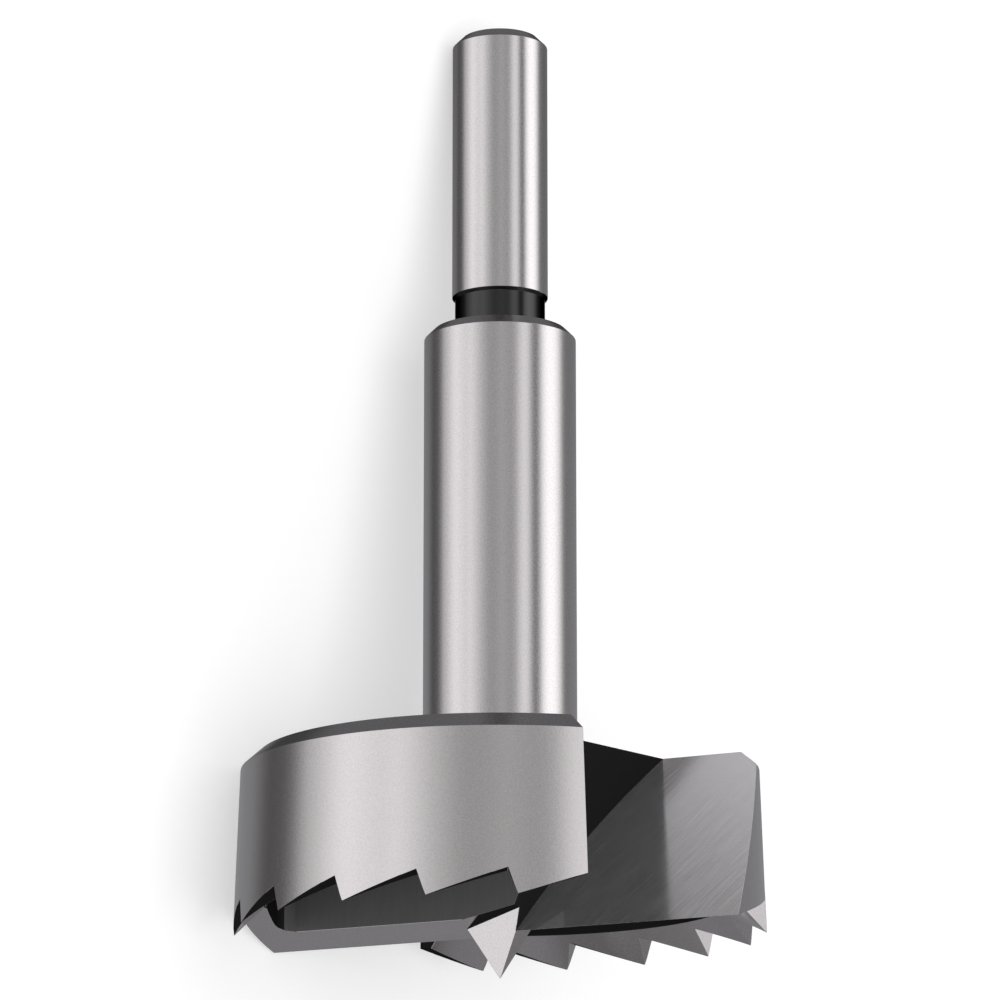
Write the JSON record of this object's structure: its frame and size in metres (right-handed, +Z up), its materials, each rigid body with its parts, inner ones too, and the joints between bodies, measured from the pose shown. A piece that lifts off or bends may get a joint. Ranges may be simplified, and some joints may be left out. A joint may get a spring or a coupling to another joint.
{
  "type": "forstner bit",
  "caption": "One-piece woodworking bit for flat-bottomed holes: round shank and body, wide head with two toothed rim wings, lifter bars and a centre spur",
  "frame": {"origin": "on the surface that the bit lies on, under the middle of its bounding box", "axes": "+X level and in line with the drilling axis, towards the shank; +Z up from the surface that the bit lies on; +Y across the bit"},
  "size_m": [0.0996, 0.0538, 0.0517],
  "materials": {
    "tool_steel": "turned and ground bright tool steel"
  },
  "bodies": {
    "root": {"forstner_bit": "tool_steel"}
  },
  "joints": []
}
